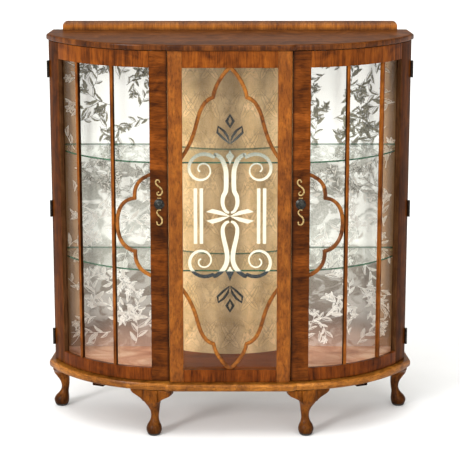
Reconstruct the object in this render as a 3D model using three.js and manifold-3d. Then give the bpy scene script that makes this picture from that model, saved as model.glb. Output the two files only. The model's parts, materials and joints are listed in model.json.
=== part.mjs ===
// Bow-fronted walnut china cabinet: a glazed centre section between two bent-glass doors, on
// cabriole legs. Millimetres, +X right, +Y to the back, +Z up, origin at the bottom centre.

import * as THREE from 'three';
import { mergeVertices } from 'three/addons/utils/BufferGeometryUtils.js';
import Module from 'manifold-3d';

const wasm = await Module();
wasm.setup();

// ---------------------------------------------------------------------------------------------
// Driving dimensions

// Whole cabinet
const CABINET_WIDTH = 1100;
const CABINET_DEPTH = 345;
const CABINET_HEIGHT = 1192;
const LEG_HEIGHT = 146;
const PLINTH_THICKNESS = 25;
const PLINTH_OVERHANG = 18;
const TOP_THICKNESS = 18;
const TOP_OVERHANG = 6;
const GALLERY_HEIGHT = 25;
const GALLERY_THICKNESS = 18;
const GALLERY_LENGTH = 992;
const GALLERY_END_RADIUS = 14;
const GALLERY_FRONT_RADIUS = 12;
const GALLERY_HOUSING = 3;
const STEP_LENGTH = 16;

// Plan of the bow
const CENTRE_HALF_WIDTH = 177;
const DOOR_SETBACK = 10;
const BOW_RADIUS = 396;
const SIDE_TOE_IN = 9;
const SIDE_PANEL_THICKNESS = 20;

// Centre section
const PILASTER_WIDTH = 41;
const PILASTER_DEPTH = 30;
const PILASTER_EDGE_RADIUS = 8;
const CENTRE_OPENING_TOP = 1101;
const CENTRE_OPENING_BOTTOM = 209;
const CENTRE_GLASS_THICKNESS = 4;
const CENTRE_GLASS_SETBACK = 13.5;
const REBATE_WIDTH = 9;
const ASTRAGAL_WIDTH = 11;
const ASTRAGAL_DEPTH = 7;
const CUSP_HALF_WIDTH = 48;

// Doors, with angles in degrees along the bow, from the centre section outwards
const DOOR_THICKNESS = 22;
const DOOR_CLEARANCE = 1.5;
const DOOR_OPENING_TOP = 1100;
const DOOR_OPENING_BOTTOM = 211;
const LOCK_EDGE = 0.15;
const LOCK_STILE_INNER = 7.66;
const INNER_BAR = 24.3;
const OUTER_BAR = 42.5;
const HINGE_STILE_INNER = 54.6;
const BAR_WIDTH = 9.8;
const BAR_CHAMFER = 1.5;
const DOOR_GLASS_THICKNESS = 3;
const DOOR_GLASS_SETBACK = 12.8;
const DOOR_REBATE_WIDTH = 8;
const EAR_MIDDLE_HEIGHT = 640;
const KNOB_ANGLE = 3.8;
const KNOB_HEIGHT = 705;
const SPINDLE_RADIUS = 3;
const LATCH_LENGTH = 36;
const LATCH_HALF_WIDTH = 6;
const LATCH_THICKNESS = 3;
const LATCH_CLEARANCE = 2;

// Hinges
const HINGE_HEIGHTS = { lower: 244, middle: 642, upper: 1063 };
const HINGE_LENGTH = 50;
const HINGE_LEAF_WIDTH = 17;
const HINGE_LEAF_THICKNESS = 0.9;
const HINGE_GAP = 2.5;
const BARREL_RADIUS = 3.6;
const PIN_RADIUS = 1.5;

// Inside
const FLOOR_THICKNESS = 12;
const BACK_THICKNESS = 6;
const MIRROR_THICKNESS = 4;
const SHELF_THICKNESS = 5;
const SHELF_TOPS = { lower: 502, upper: 823 };
const SHELF_BOW_RADIUS = 366;
const CENTRE_BACK_RADIUS = 300;
const CENTRE_BACK_FRONT = 256;
const CENTRE_BACK_HALF_ANGLE = 41;
const CENTRE_BACK_THICKNESS = 4;
const PANEL_CLEARANCE = 1;
const SHELF_CLEARANCE = 3;

// Legs
const LEG_HALF_WIDTH = 23;
const FRONT_LEG = { x: 228.5, y: -130, yaw: 20, sweep: 45, toe: 0 };
const REAR_LEG = { x: 519, y: 143, yaw: 95, sweep: 90, toe: 8 };
const BRACKET_LENGTH = 42;
const BRACKET_HEIGHT = 40;
const BRACKET_LIP = 5;
const BRACKET_SWELL = 21;
const BRACKET_SETBACK = 6;
const BRACKET_EDGE = 1.5;
const BRACKET_THICKNESS = 22;

// Small gap between pieces that meet
const GAP = 0.3;

// ---------------------------------------------------------------------------------------------
// Levels and planes worked out from the driving dimensions

const backY = CABINET_DEPTH / 2;
const frontY = -CABINET_DEPTH / 2 + PLINTH_OVERHANG;
const bodyHalfWidth = CABINET_WIDTH / 2 - PLINTH_OVERHANG;
const bow = new THREE.Vector2(CENTRE_HALF_WIDTH, frontY + DOOR_SETBACK + BOW_RADIUS);
const plinthTop = LEG_HEIGHT + PLINTH_THICKNESS;
const topSurface = CABINET_HEIGHT - GALLERY_HEIGHT;
const topUnderside = topSurface - TOP_THICKNESS;
const floorTop = plinthTop + FLOOR_THICKNESS;
const cornerAngle = Math.asin((bodyHalfWidth - CENTRE_HALF_WIDTH) / BOW_RADIUS);
const centreOpeningHalf = CENTRE_HALF_WIDTH - PILASTER_WIDTH;
const mirrorFront = backY - BACK_THICKNESS - MIRROR_THICKNESS;

// ---------------------------------------------------------------------------------------------
// Materials

const materials = {
  walnut: wood(0x7a3d16),
  darkWalnut: wood(0x4a2412),
  lightWalnut: wood(0xa35c22),
  plinthWalnut: wood(0x8a5316),
  ply: new THREE.MeshStandardMaterial({ color: 0x9a7a55, roughness: 0.8, metalness: 0 }),
  damask: new THREE.MeshStandardMaterial({ color: 0xd2b582, roughness: 0.55, metalness: 0 }),
  glass: new THREE.MeshStandardMaterial({
    color: 0xe4f0ea, roughness: 0.05, metalness: 0, transparent: true, opacity: 0.25,
  }),
  mirror: new THREE.MeshStandardMaterial({ color: 0xe9ebe8, roughness: 0.05, metalness: 1 }),
  hinge: new THREE.MeshStandardMaterial({ color: 0x1b1512, roughness: 0.5, metalness: 0.7 }),
  knob: new THREE.MeshStandardMaterial({ color: 0x2a2c2c, roughness: 0.35, metalness: 0.6 }),
};

function wood(color) {
  return new THREE.MeshStandardMaterial({ color, roughness: 0.35, metalness: 0 });
}

// ---------------------------------------------------------------------------------------------
// Geometry helpers

function radians(degrees) {
  return THREE.MathUtils.degToRad(degrees);
}

function toManifold(geometry) {
  const bare = geometry.clone();
  bare.deleteAttribute('normal');
  bare.deleteAttribute('uv');
  const merged = mergeVertices(bare, 1e-4);
  return new wasm.Manifold(new wasm.Mesh({
    numProp: 3,
    vertProperties: new Float32Array(merged.attributes.position.array),
    triVerts: new Uint32Array(merged.index.array),
  }));
}

function toGeometry(manifold) {
  const mesh = manifold.getMesh();
  const geometry = new THREE.BufferGeometry();
  geometry.setAttribute('position', new THREE.BufferAttribute(mesh.vertProperties, 3));
  geometry.setIndex(new THREE.BufferAttribute(mesh.triVerts, 1));
  geometry.computeVertexNormals();
  return geometry;
}

function join(...geometries) {
  return toGeometry(geometries.map(toManifold).reduce((whole, piece) => whole.add(piece)));
}

function cut(geometry, ...tools) {
  return toGeometry(tools.map(toManifold).reduce((left, tool) => left.subtract(tool),
    toManifold(geometry)));
}

function keepInside(geometry, region) {
  return toGeometry(toManifold(geometry).intersect(toManifold(region)));
}

// A box from its lowest to its highest corner.
function box(low, high) {
  const size = high.map((value, axis) => value - low[axis]);
  const geometry = new THREE.BoxGeometry(...size);
  return geometry.translate(...low.map((value, axis) => value + size[axis] / 2));
}

// A plan shape, drawn in X and Y, raised from one level to another.
function raise(shape, bottom, top, steps = 14) {
  const geometry = new THREE.ExtrudeGeometry(shape, {
    depth: top - bottom, bevelEnabled: false, curveSegments: steps,
  });
  return geometry.translate(0, 0, bottom);
}

// A plan shape with rounded upper and lower edges. The edges stand out of the shape by roundSize.
function raiseRounded(shape, bottom, top, roundSize, roundHeight, roundSteps) {
  const geometry = new THREE.ExtrudeGeometry(shape, {
    depth: top - bottom - 2 * roundHeight,
    bevelEnabled: true,
    bevelSize: roundSize,
    bevelThickness: roundHeight,
    bevelSegments: roundSteps,
    curveSegments: 16,
  });
  return geometry.translate(0, 0, bottom + roundHeight);
}

// A shape drawn in X and Z, given a thickness along Y from its front to its back.
function standUp(shape, front, back, bevel = 0) {
  const geometry = new THREE.ExtrudeGeometry(shape, {
    depth: back - front - 2 * bevel,
    bevelEnabled: bevel > 0,
    bevelSize: bevel,
    bevelOffset: -bevel,
    bevelThickness: bevel,
    bevelSegments: 1,
    curveSegments: 8,
  });
  return geometry.rotateX(Math.PI / 2).translate(0, back - bevel, 0);
}

// The point of the right-hand bow at a radius and an angle in degrees.
function onBow(radius, degrees) {
  const angle = radians(degrees);
  return new THREE.Vector2(bow.x + radius * Math.sin(angle), bow.y - radius * Math.cos(angle));
}

// An arc that the shape first runs to in a straight line.
function arcTo(shape, x, y, radius, from, to, clockwise) {
  shape.lineTo(x + radius * Math.cos(from), y + radius * Math.sin(from));
  shape.absarc(x, y, radius, from, to, clockwise);
}

// Part of a ring on the right-hand bow.
function bowSector(outer, inner, from, to, bottom, top) {
  const turn = -Math.PI / 2;
  const shape = new THREE.Shape();
  shape.absarc(bow.x, bow.y, outer, turn + radians(from), turn + radians(to), false);
  shape.absarc(bow.x, bow.y, inner, turn + radians(to), turn + radians(from), true);
  return raise(shape, bottom, top, Math.max(2, Math.ceil((to - from) / 3.2)));
}

// The cabinet's plan outline at an offset from the body. Its step forward at the centre section
// is an ogee.
function outline(offset, rear) {
  const radius = BOW_RADIUS + offset;
  const half = bodyHalfWidth + offset;
  const corner = Math.asin((half - bow.x) / radius);
  const step = Math.asin((offset + STEP_LENGTH / 2) / radius);
  const down = -Math.PI / 2;
  const lead = STEP_LENGTH / 3;
  const stepFoot = new THREE.Vector2(bow.x + radius * Math.sin(step),
    bow.y - radius * Math.cos(step));
  const leaving = new THREE.Vector2(stepFoot.x - lead * Math.cos(step),
    stepFoot.y - lead * Math.sin(step));
  const stepHead = new THREE.Vector2(stepFoot.x - STEP_LENGTH, frontY - offset);
  const shape = new THREE.Shape();
  shape.moveTo(half - SIDE_TOE_IN, rear);
  arcTo(shape, bow.x, bow.y, radius, down + corner, down + step, true);
  shape.bezierCurveTo(leaving.x, leaving.y, stepHead.x + lead, stepHead.y,
    stepHead.x, stepHead.y);
  shape.lineTo(-stepHead.x, stepHead.y);
  shape.bezierCurveTo(-stepHead.x - lead, stepHead.y, -leaving.x, leaving.y,
    -stepFoot.x, stepFoot.y);
  shape.absarc(-bow.x, bow.y, radius, down - step, down - corner, true);
  shape.lineTo(-half + SIDE_TOE_IN, rear);
  shape.closePath();
  return shape;
}

// A plan outline that follows the inside of the bow, with a straight middle.
function insideOutline(radius, cornerHalf, rearHalf, rear) {
  const corner = Math.asin((cornerHalf - bow.x) / radius);
  const down = -Math.PI / 2;
  const shape = new THREE.Shape();
  shape.moveTo(rearHalf, rear);
  arcTo(shape, bow.x, bow.y, radius, down + corner, down, true);
  arcTo(shape, -bow.x, bow.y, radius, down, down - corner, true);
  shape.lineTo(-rearHalf, rear);
  shape.closePath();
  return shape;
}

// A band of constant width along a line of points.
function band(points, width) {
  const left = [];
  const right = [];
  points.forEach((point, i) => {
    const before = points[Math.max(0, i - 1)];
    const after = points[Math.min(points.length - 1, i + 1)];
    const arriving = point.clone().sub(before);
    const leaving = after.clone().sub(point);
    if (arriving.length() === 0) arriving.copy(leaving);
    if (leaving.length() === 0) leaving.copy(arriving);
    arriving.normalize();
    leaving.normalize();
    const along = arriving.clone().add(leaving).normalize();
    const reach = width / 2 / Math.max(0.5, along.dot(leaving));
    const side = new THREE.Vector2(-along.y, along.x).multiplyScalar(reach);
    left.push(point.clone().add(side));
    right.unshift(point.clone().sub(side));
  });
  return new THREE.Shape([...left, ...right]);
}

function cubic(from, leave, arrive, to) {
  return new THREE.CubicBezierCurve(
    ...[from, leave, arrive, to].map(([x, y]) => new THREE.Vector2(x, y)));
}

// Points along curves that follow each other, with no point given twice.
function pointsAlong(curves, steps) {
  return curves.flatMap((curve, i) => curve.getPoints(steps).slice(i === 0 ? 0 : 1));
}

// ---------------------------------------------------------------------------------------------
// The model

const cabinet = new THREE.Group();
cabinet.name = 'china_cabinet';

function add(parent, name, geometry, material) {
  const mesh = new THREE.Mesh(geometry, material.clone());
  mesh.name = name;
  parent.add(mesh);
  return mesh;
}

// Each side of the cabinet is drawn on the right and mirrored for the left.
function bothSides(build) {
  for (const side of ['right', 'left']) {
    const half = new THREE.Group();
    half.scale.x = side === 'right' ? 1 : -1;
    cabinet.add(half);
    build(half, side);
  }
}

// ---- Top and gallery

const TOP_ROUND = 5;
const galleryFront = backY - GALLERY_THICKNESS;
const galleryHalf = GALLERY_LENGTH / 2;
const top = raiseRounded(outline(TOP_OVERHANG - TOP_ROUND, backY - TOP_ROUND),
  topUnderside, topSurface, TOP_ROUND, TOP_ROUND, 2);
const galleryHousing = box(
  [-galleryHalf - GAP, galleryFront - GAP, topSurface - GALLERY_HOUSING],
  [galleryHalf + GAP, backY + GAP, topSurface + GAP]);
add(cabinet, 'top_board', cut(top, galleryHousing), materials.walnut);

// The gallery's section, in Y and Z, is rounded along its front. Its ends are rounded upwards.
function galleryGeometry() {
  const low = topSurface - GALLERY_HOUSING + GAP;
  const section = new THREE.Shape();
  section.moveTo(galleryFront, low);
  section.lineTo(backY, low);
  section.lineTo(backY, CABINET_HEIGHT);
  arcTo(section, galleryFront + GALLERY_FRONT_RADIUS, CABINET_HEIGHT - GALLERY_FRONT_RADIUS,
    GALLERY_FRONT_RADIUS, Math.PI / 2, Math.PI, false);
  section.closePath();
  const bar = new THREE.ExtrudeGeometry(section, {
    depth: GALLERY_LENGTH, bevelEnabled: false, curveSegments: 6,
  }).rotateX(Math.PI / 2).rotateZ(Math.PI / 2).translate(-galleryHalf, 0, 0);
  const r = GALLERY_END_RADIUS;
  const face = new THREE.Shape();
  face.moveTo(-galleryHalf, low - 1);
  face.lineTo(galleryHalf, low - 1);
  face.absarc(galleryHalf - r, CABINET_HEIGHT - r, r, 0, Math.PI / 2, false);
  face.absarc(-galleryHalf + r, CABINET_HEIGHT - r, r, Math.PI / 2, Math.PI, false);
  face.closePath();
  return keepInside(bar, standUp(face, galleryFront - 1, backY + 1));
}
add(cabinet, 'top_gallery', galleryGeometry(), materials.walnut);

// ---- Plinth and floor

const PLINTH_ROUND = 8;
const PLINTH_ROUND_HEIGHT = 9;
const plinth = raiseRounded(outline(PLINTH_OVERHANG - PLINTH_ROUND, backY - PLINTH_ROUND),
  LEG_HEIGHT, plinthTop, PLINTH_ROUND, PLINTH_ROUND_HEIGHT, 2);
const footprint = box([-CABINET_WIDTH / 2, -CABINET_DEPTH / 2, 0],
  [CABINET_WIDTH / 2, CABINET_DEPTH / 2, CABINET_HEIGHT]);
add(cabinet, 'plinth', keepInside(plinth, footprint), materials.plinthWalnut);

const insideRadius = BOW_RADIUS - DOOR_THICKNESS - 2 * PANEL_CLEARANCE;
const sideInner = bodyHalfWidth - SIDE_PANEL_THICKNESS - GAP;
const insideRear = backY - BACK_THICKNESS - GAP;
const floorPanel = raise(
  insideOutline(insideRadius, sideInner - PANEL_CLEARANCE, sideInner - SIDE_TOE_IN, insideRear),
  plinthTop + GAP, floorTop);
const centreFrameRoom = box([-bow.x - SHELF_CLEARANCE, -CABINET_DEPTH / 2, 0],
  [bow.x + SHELF_CLEARANCE, frontY + PILASTER_DEPTH + GAP, CABINET_HEIGHT]);
add(cabinet, 'floor_panel', cut(floorPanel, centreFrameRoom), materials.walnut);

// ---- Back, mirrors and the bowed centre back

const backHalf = sideInner - SIDE_TOE_IN;
add(cabinet, 'back_panel',
  box([-backHalf, backY - BACK_THICKNESS, plinthTop + GAP], [backHalf, backY, topUnderside - GAP]),
  materials.ply);

const centreBackMiddle = -CABINET_DEPTH / 2 + CENTRE_BACK_FRONT + CENTRE_BACK_RADIUS;
function centreBackShape(radius, thickness, halfAngle) {
  const down = -Math.PI / 2;
  const reach = radians(halfAngle);
  const shape = new THREE.Shape();
  shape.absarc(0, centreBackMiddle, radius, down - reach, down + reach, false);
  shape.absarc(0, centreBackMiddle, radius - thickness, down + reach, down - reach, true);
  return shape;
}
add(cabinet, 'centre_back_panel',
  raise(centreBackShape(CENTRE_BACK_RADIUS, CENTRE_BACK_THICKNESS, CENTRE_BACK_HALF_ANGLE),
    floorTop + GAP, topUnderside - GAP, 18),
  materials.damask);

// ---- Glass shelves, cut round the centre back

const shelfRear = mirrorFront - PANEL_CLEARANCE;
const shelfCutRadius = CENTRE_BACK_RADIUS + SHELF_CLEARANCE / 2;
const shelfCutDepth = 120;
const shelfCutHalfAngle = CENTRE_BACK_HALF_ANGLE + 11;
const centreBackRoom = raise(centreBackShape(shelfCutRadius, shelfCutDepth, shelfCutHalfAngle),
  0, CABINET_HEIGHT);
const shelfEnd = sideInner - SHELF_CLEARANCE;
for (const [level, shelfTop] of Object.entries(SHELF_TOPS)) {
  const shelf = raise(
    insideOutline(SHELF_BOW_RADIUS, shelfEnd, shelfEnd - SIDE_TOE_IN, shelfRear),
    shelfTop - SHELF_THICKNESS, shelfTop);
  add(cabinet, `${level}_shelf`, cut(shelf, centreBackRoom), materials.glass);
}

// ---- Centre frame: rails, glass and the two ogee astragals

const glassFront = frontY + CENTRE_GLASS_SETBACK;
const centreRailBack = frontY + PILASTER_DEPTH - BACK_THICKNESS;
function centreRail(openingEdge, outerEdge) {
  const upward = Math.sign(outerEdge - openingEdge);
  const half = centreOpeningHalf - GAP;
  const face = [openingEdge, outerEdge].sort((a, b) => a - b);
  const behind = [openingEdge + upward * REBATE_WIDTH, outerEdge].sort((a, b) => a - b);
  return join(
    box([-half, frontY, face[0]], [half, glassFront - GAP, face[1]]),
    box([-half, glassFront - 1, behind[0]], [half, centreRailBack, behind[1]]));
}
add(cabinet, 'centre_top_rail', centreRail(CENTRE_OPENING_TOP, topUnderside - GAP),
  materials.walnut);
add(cabinet, 'centre_bottom_rail', centreRail(CENTRE_OPENING_BOTTOM, plinthTop + GAP),
  materials.walnut);

const glassLap = REBATE_WIDTH - 2 * GAP;
add(cabinet, 'centre_glass',
  box([-centreOpeningHalf - glassLap, glassFront, CENTRE_OPENING_BOTTOM - glassLap],
    [centreOpeningHalf + glassLap, glassFront + CENTRE_GLASS_THICKNESS,
      CENTRE_OPENING_TOP + glassLap]),
  materials.glass);

// Half of an astragal, from the pilaster up to its point on the centre line: an ogee sweep up to
// a cusp, then a bowed arch.
function astragal(sideHeight, cuspHeight, pointHeight) {
  const half = centreOpeningHalf;
  const side = half + 3;
  const shoulder = half - 42;
  const sweepAt = (share) => sideHeight + share * (cuspHeight - sideHeight);
  const archAt = (share) => cuspHeight + share * (pointHeight - cuspHeight);
  const hollow = cubic([side, sideHeight], [side - 23, sweepAt(0.17)],
    [shoulder + 8, sweepAt(0.4)], [shoulder, sweepAt(0.6)]);
  const swell = cubic([shoulder, sweepAt(0.6)], [shoulder - 7, sweepAt(0.77)],
    [CUSP_HALF_WIDTH + 27, sweepAt(0.96)], [CUSP_HALF_WIDTH, cuspHeight]);
  const arch = cubic([CUSP_HALF_WIDTH, cuspHeight], [CUSP_HALF_WIDTH - 3, archAt(0.33)],
    [CUSP_HALF_WIDTH / 2, archAt(0.73)], [0, pointHeight]);
  const right = pointsAlong([hollow, swell, arch], 6);
  const start = right[0].clone().add(new THREE.Vector2(10, -0.05 * (pointHeight - sideHeight)));
  const halfLine = [start, ...right];
  const mirrored = halfLine.slice(0, -1).reverse().map((p) => new THREE.Vector2(-p.x, p.y));
  const shape = band([...halfLine, ...mirrored], ASTRAGAL_WIDTH);
  const front = glassFront - GAP - ASTRAGAL_DEPTH;
  const bead = standUp(shape, front, glassFront - GAP, 2);
  const opening = box([-half + GAP, frontY - 5, CENTRE_OPENING_BOTTOM + GAP],
    [half - GAP, glassFront, CENTRE_OPENING_TOP - GAP]);
  return keepInside(bead, opening);
}
add(cabinet, 'centre_top_astragal', astragal(841, 1016, 1103), materials.lightWalnut);
add(cabinet, 'centre_bottom_astragal', astragal(452, 286, 209), materials.lightWalnut);

// ---- Pilasters, side panels and mirrors

function pilasterShape() {
  const outer = CENTRE_HALF_WIDTH;
  const inner = centreOpeningHalf;
  const r = PILASTER_EDGE_RADIUS;
  const rebateFront = glassFront - GAP;
  const shape = new THREE.Shape();
  shape.moveTo(outer, frontY + PILASTER_DEPTH);
  arcTo(shape, outer - r, frontY + r, r, 0, -Math.PI / 2, true);
  shape.lineTo(inner, frontY);
  shape.lineTo(inner, rebateFront);
  shape.lineTo(inner + REBATE_WIDTH, rebateFront);
  shape.lineTo(inner + REBATE_WIDTH, frontY + PILASTER_DEPTH);
  shape.closePath();
  return shape;
}

function sidePanelShape() {
  const corner = THREE.MathUtils.radToDeg(cornerAngle);
  const outerFront = onBow(BOW_RADIUS, corner);
  const innerFront = onBow(BOW_RADIUS - DOOR_THICKNESS, corner);
  const outerRear = new THREE.Vector2(bodyHalfWidth - SIDE_TOE_IN, backY);
  const innerRear = new THREE.Vector2(outerRear.x - SIDE_PANEL_THICKNESS, backY);
  return new THREE.Shape([outerFront, outerRear, innerRear, innerFront]);
}

bothSides((half, side) => {
  add(half, `${side}_pilaster`, raise(pilasterShape(), plinthTop + GAP, topUnderside - GAP, 6),
    materials.lightWalnut);
  add(half, `${side}_side_panel`, raise(sidePanelShape(), plinthTop + GAP, topUnderside - GAP),
    materials.darkWalnut);
  const centreBackEnd = CENTRE_BACK_RADIUS * Math.sin(radians(CENTRE_BACK_HALF_ANGLE));
  const mirrorInner = centreBackEnd + SHELF_CLEARANCE;
  add(half, `${side}_mirror`,
    box([mirrorInner, mirrorFront, floorTop + GAP],
      [backHalf - PANEL_CLEARANCE, backY - BACK_THICKNESS - GAP, topUnderside - GAP]),
    materials.mirror);
});

// ---- Doors

const doorEnd = THREE.MathUtils.radToDeg(cornerAngle - HINGE_GAP / BOW_RADIUS);
const doorBottom = plinthTop + DOOR_CLEARANCE;
const doorTop = topUnderside - DOOR_CLEARANCE;
const doorInner = BOW_RADIUS - DOOR_THICKNESS;
const rebateRadius = BOW_RADIUS - DOOR_GLASS_SETBACK + GAP;
const rebateAngle = THREE.MathUtils.radToDeg(DOOR_REBATE_WIDTH / BOW_RADIUS);
const jointAngle = THREE.MathUtils.radToDeg(GAP / BOW_RADIUS);

// A stile between two angles. The rebate for the glass is on its glazed side.
function doorStile(from, to, glazedSide) {
  const behindFrom = glazedSide === 'from' ? from + rebateAngle : from;
  const behindTo = glazedSide === 'to' ? to - rebateAngle : to;
  return join(
    bowSector(BOW_RADIUS, rebateRadius, from, to, doorBottom, doorTop),
    bowSector(rebateRadius + 1, doorInner, behindFrom, behindTo, doorBottom, doorTop));
}

function doorRail(openingEdge, outerEdge) {
  const outward = Math.sign(outerEdge - openingEdge);
  const behindEdge = openingEdge + outward * DOOR_REBATE_WIDTH;
  const from = LOCK_STILE_INNER + jointAngle;
  const to = HINGE_STILE_INNER - jointAngle;
  const levels = (a, b) => (a < b ? [a, b] : [b, a]);
  const face = bowSector(BOW_RADIUS, rebateRadius, from, to, ...levels(openingEdge, outerEdge));
  const notch = bowSector(rebateRadius + 1, doorInner, from, to, ...levels(behindEdge, outerEdge));
  return join(face, notch);
}

// A glazing bar with its front corners taken off.
function glazingBar(angle) {
  const halfAngle = THREE.MathUtils.radToDeg(BAR_WIDTH / 2 / BOW_RADIUS);
  const chamferAngle = THREE.MathUtils.radToDeg(BAR_CHAMFER / BOW_RADIUS);
  const front = BOW_RADIUS - 0.8;
  const shape = new THREE.Shape([
    onBow(rebateRadius, angle - halfAngle),
    onBow(front - BAR_CHAMFER, angle - halfAngle),
    onBow(front, angle - halfAngle + chamferAngle),
    onBow(front, angle + halfAngle - chamferAngle),
    onBow(front - BAR_CHAMFER, angle + halfAngle),
    onBow(rebateRadius, angle + halfAngle),
  ]);
  return raise(shape, DOOR_OPENING_BOTTOM + GAP, DOOR_OPENING_TOP - GAP);
}

// The ear-shaped moulding from the lock stile out to the inner bar and back: a small lobe, a
// large lobe in the middle and a small lobe. It is drawn flat, as a distance from the stile and a
// height, then wrapped round the bow.
function earMoulding() {
  const upper = [
    cubic([0, 149.5], [26, 139], [50, 122], [47.5, 79]),
    cubic([47.5, 79], [76, 75], [103.5, 52], [103.5, 0]),
  ];
  const above = pointsAlong(upper, 9);
  const below = above.slice(0, -1).reverse().map((p) => new THREE.Vector2(p.x, -p.y));
  const line = [new THREE.Vector2(-10, 153), ...above, ...below, new THREE.Vector2(-10, -153)];
  const depth = 9.5;
  const flat = standUp(band(line, ASTRAGAL_WIDTH - 0.5), -depth, 0, 2);
  const beyondStile = box([GAP, -2 * depth, -BOW_RADIUS], [BOW_RADIUS, depth, BOW_RADIUS]);
  const trimmed = keepInside(flat, beyondStile);
  const position = trimmed.attributes.position;
  for (let i = 0; i < position.count; i += 1) {
    const angle = LOCK_STILE_INNER + THREE.MathUtils.radToDeg(position.getX(i) / BOW_RADIUS);
    const point = onBow(rebateRadius + 2 * GAP - position.getY(i), angle);
    position.setXYZ(i, point.x, point.y, position.getZ(i) + EAR_MIDDLE_HEIGHT);
  }
  trimmed.computeVertexNormals();
  return trimmed;
}

// A turned knob with its spindle and latch, drawn with +Z out of the door. The latch hangs down
// when the door is free.
function knobGeometry() {
  const latchBack = -DOOR_THICKNESS - LATCH_CLEARANCE - LATCH_THICKNESS;
  const profile = [
    [0, latchBack], [SPINDLE_RADIUS, latchBack], [SPINDLE_RADIUS, 0.8], [15, 0.8],
    [15, 2.4], [12.5, 3.8], [6, 4.4], [5, 7.5], [8.5, 9.2], [10.5, 12], [9.6, 14.4],
    [6, 16], [0, 16.6],
  ].map(([r, z]) => new THREE.Vector2(r, z));
  const turned = new THREE.LatheGeometry(profile, 14).rotateX(Math.PI / 2);
  const latch = box([-LATCH_HALF_WIDTH, -LATCH_LENGTH, latchBack],
    [LATCH_HALF_WIDTH, LATCH_HALF_WIDTH, latchBack + LATCH_THICKNESS]);
  return join(turned, latch);
}

function placeKnob(geometry) {
  const seat = onBow(BOW_RADIUS, KNOB_ANGLE);
  return geometry.rotateX(Math.PI / 2).rotateZ(radians(KNOB_ANGLE))
    .translate(seat.x, seat.y, KNOB_HEIGHT);
}

function doorPieces(half, side) {
  const door = new THREE.Group();
  half.add(door);
  const name = (piece) => `${side}_door_${piece}`;
  add(door, name('top_rail'), doorRail(DOOR_OPENING_TOP, doorTop), materials.walnut);
  add(door, name('bottom_rail'), doorRail(DOOR_OPENING_BOTTOM, doorBottom), materials.walnut);
  const spindleHole = SPINDLE_RADIUS + 0.5;
  const spindleRoom = placeKnob(
    new THREE.CylinderGeometry(spindleHole, spindleHole, 3 * DOOR_THICKNESS, 14)
      .rotateX(Math.PI / 2));
  add(door, name('lock_stile'), cut(doorStile(LOCK_EDGE, LOCK_STILE_INNER, 'to'), spindleRoom),
    materials.walnut);
  add(door, name('hinge_stile'), doorStile(HINGE_STILE_INNER, doorEnd, 'from'),
    materials.darkWalnut);
  add(door, name('inner_bar'), glazingBar(INNER_BAR), materials.walnut);
  add(door, name('outer_bar'), glazingBar(OUTER_BAR), materials.walnut);
  const lap = DOOR_REBATE_WIDTH - 2 * GAP;
  const lapAngle = THREE.MathUtils.radToDeg(lap / BOW_RADIUS);
  const glassOuter = BOW_RADIUS - DOOR_GLASS_SETBACK;
  add(door, name('glass'),
    bowSector(glassOuter, glassOuter - DOOR_GLASS_THICKNESS, LOCK_STILE_INNER - lapAngle,
      HINGE_STILE_INNER + lapAngle, DOOR_OPENING_BOTTOM - lap, DOOR_OPENING_TOP + lap),
    materials.glass);
  add(door, name('ear_moulding'), earMoulding(), materials.walnut);
  add(door, name('knob'), placeKnob(knobGeometry()), materials.knob);
}

// ---- Hinges

// One hinge, drawn with the pin along Z at the origin, the leaves running along -X. The fixed
// leaf has the two end knuckles and the pin, and the door leaf the middle knuckle.
function hingeLeaves() {
  const halfLength = HINGE_LENGTH / 2;
  const knuckle = HINGE_LENGTH / 3;
  const barrel = (radius, low, high) => new THREE.CylinderGeometry(radius, radius, high - low, 10)
    .rotateX(Math.PI / 2).translate(0, 0, (low + high) / 2);
  const leafNear = HINGE_GAP / 2 - HINGE_LEAF_THICKNESS - GAP / 2;
  const barrelRoom = BARREL_RADIUS + 0.5;
  const plate = (front) => box([-HINGE_LEAF_WIDTH, front, -halfLength],
    [-PIN_RADIUS - 2 * GAP, front + HINGE_LEAF_THICKNESS, halfLength]);
  const fixedLeaf = join(
    cut(join(plate(leafNear), barrel(BARREL_RADIUS, -halfLength, halfLength)),
      barrel(barrelRoom, -knuckle / 2 - GAP, knuckle / 2 + GAP)),
    barrel(PIN_RADIUS, -halfLength, halfLength));
  const doorPlate = cut(plate(-leafNear - HINGE_LEAF_THICKNESS),
    barrel(barrelRoom, -halfLength - 1, -knuckle / 2),
    barrel(barrelRoom, knuckle / 2, halfLength + 1));
  const doorLeaf = cut(join(doorPlate, barrel(BARREL_RADIUS, -knuckle / 2, knuckle / 2)),
    barrel(PIN_RADIUS + GAP, -knuckle, knuckle));
  return { fixedLeaf, doorLeaf };
}

// The pin stands just outside the corner where door and side panel meet.
const hingeMiddleAngle = THREE.MathUtils.radToDeg(cornerAngle - HINGE_GAP / 2 / BOW_RADIUS);
const hingePin = onBow(BOW_RADIUS + BARREL_RADIUS + GAP, hingeMiddleAngle);

function hingePieces(half, side) {
  for (const [level, height] of Object.entries(HINGE_HEIGHTS)) {
    const { fixedLeaf, doorLeaf } = hingeLeaves();
    const hinge = new THREE.Group();
    hinge.position.set(hingePin.x, hingePin.y, height);
    hinge.rotation.z = radians(hingeMiddleAngle - 90);
    half.add(hinge);
    add(hinge, `${side}_${level}_hinge_fixed_leaf`, fixedLeaf, materials.hinge);
    add(hinge, `${side}_${level}_hinge_door_leaf`, doorLeaf, materials.hinge);
  }
}

bothSides((half, side) => {
  doorPieces(half, side);
  hingePieces(half, side);
});

// ---- Legs and knee brackets

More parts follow.
